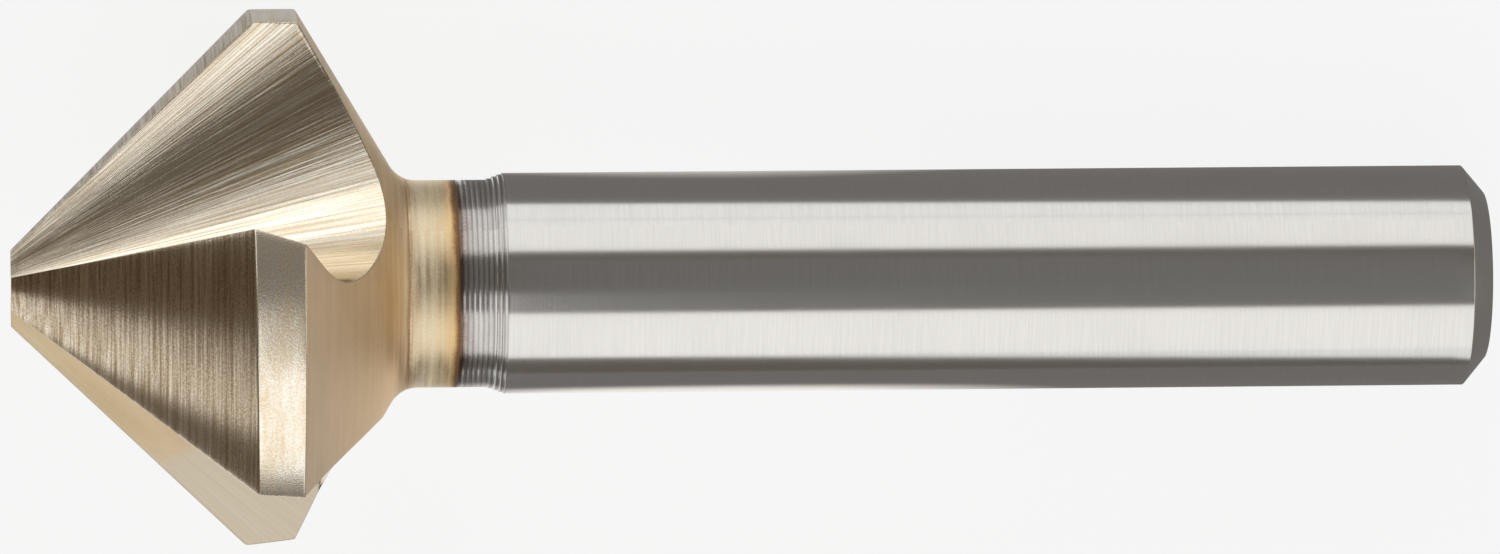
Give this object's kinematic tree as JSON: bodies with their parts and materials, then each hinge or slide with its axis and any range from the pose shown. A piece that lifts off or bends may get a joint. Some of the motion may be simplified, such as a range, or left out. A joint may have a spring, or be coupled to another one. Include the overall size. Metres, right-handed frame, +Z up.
{
  "type": "countersink bit",
  "caption": "Countersink bit with a right-angled cone point, relieved cutting teeth between open flutes and a plain round shank, lying on its side.",
  "frame": {"origin": "centre of the bounding box at the level of the surface that the bit lies on", "axes": "+Z up, +X along the bit from its point towards the end of its shank, which lies lower than the point by about six degrees; the flute that faces down opens to -Z"},
  "size_m": [0.0672, 0.025, 0.0234],
  "materials": {
    "tool_steel": "ground high-speed steel, bright on the shank and straw-tinted on the head"
  },
  "bodies": {
    "root": {"countersink_bit": "tool_steel"}
  },
  "joints": []
}
